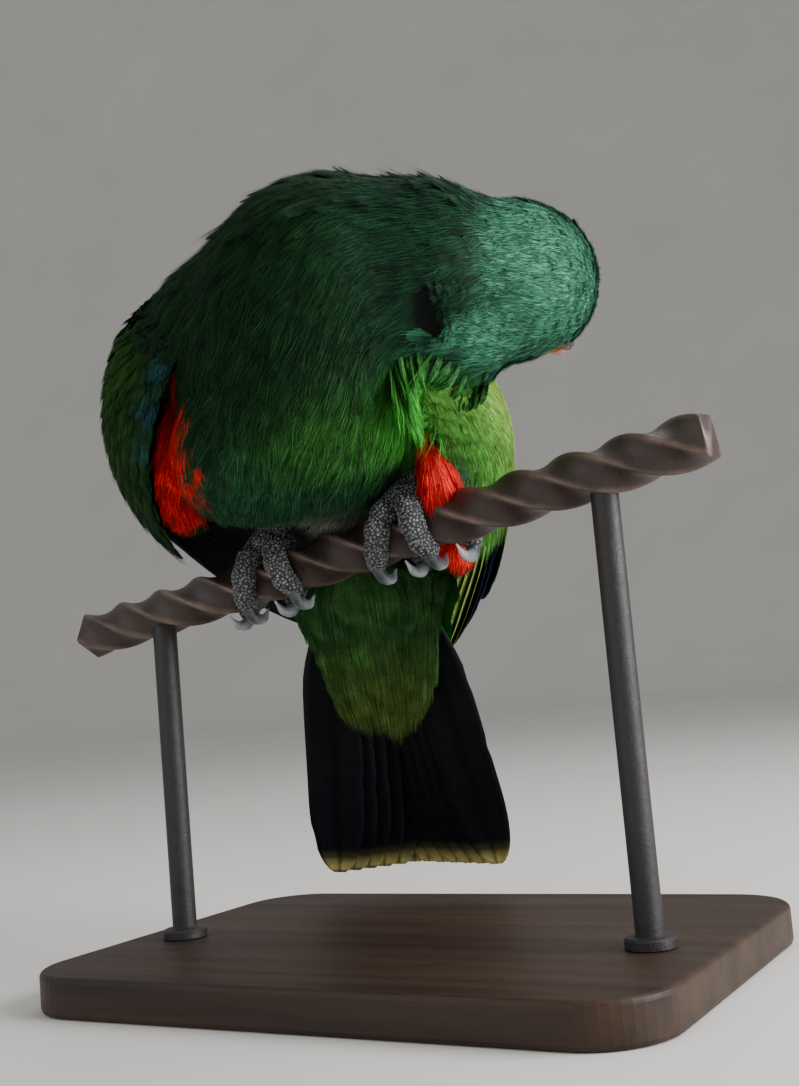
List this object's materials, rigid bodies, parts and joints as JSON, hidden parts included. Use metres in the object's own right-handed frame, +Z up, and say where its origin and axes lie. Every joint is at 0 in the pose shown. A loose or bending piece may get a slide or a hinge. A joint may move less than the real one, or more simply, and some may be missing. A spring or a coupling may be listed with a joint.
{
  "type": "eclectus parrot",
  "caption": "Male eclectus parrot perched with its head turned round over its back, gripping a short twisted iron bar held on a plain display stand.",
  "frame": {"origin": "on the underside of the base plate, plumb under the middle of the perch between the feet", "axes": "+Z up; +X along the perch in plan, towards the bird's left foot; -Y towards the side that the breast faces"},
  "size_m": [0.2277, 0.1617, 0.2387],
  "materials": {
    "body_feathers": "soft green body feathers with fine barbs",
    "head_feathers": "short sea-green feathers",
    "flank_feathers": "loose red flank and underwing feathers",
    "wing_coverts": "firm green coverts",
    "quills": "dark blue-black flight and tail feathers",
    "tail_coverts": "yellowish green coverts",
    "bill_orange": "waxy orange horn",
    "bill_black": "black horn",
    "eye": "wet orange iris with black pupil",
    "foot_skin": "grey granular scales",
    "claw": "pale bluish grey horn",
    "iron": "dark brown weathered iron",
    "plate": "dark oiled wood"
  },
  "bodies": {
    "root": {"torso": "body_feathers", "neck": "body_feathers", "head": "head_feathers", "upper_bill": "bill_orange", "lower_bill": "bill_black", "eye_left": "eye", "eye_right": "eye", "wing_left_coverts": "wing_coverts", "wing_left_flight": "quills", "flank_left": "flank_feathers", "leg_left": "body_feathers", "foot_left": "foot_skin", "claw_left_1": "claw", "claw_left_2": "claw", "claw_left_3": "claw", "claw_left_4": "claw", "wing_right_coverts": "wing_coverts", "wing_right_flight": "quills", "flank_right": "flank_feathers", "leg_right": "body_feathers", "foot_right": "foot_skin", "claw_right_1": "claw", "claw_right_2": "claw", "claw_right_3": "claw", "claw_right_4": "claw", "tail": "quills", "undertail_coverts": "tail_coverts", "uppertail_coverts": "body_feathers", "stand_perch": "iron", "stand_rod_right": "iron", "stand_rod_left": "iron", "stand_base": "plate"}
  },
  "joints": []
}
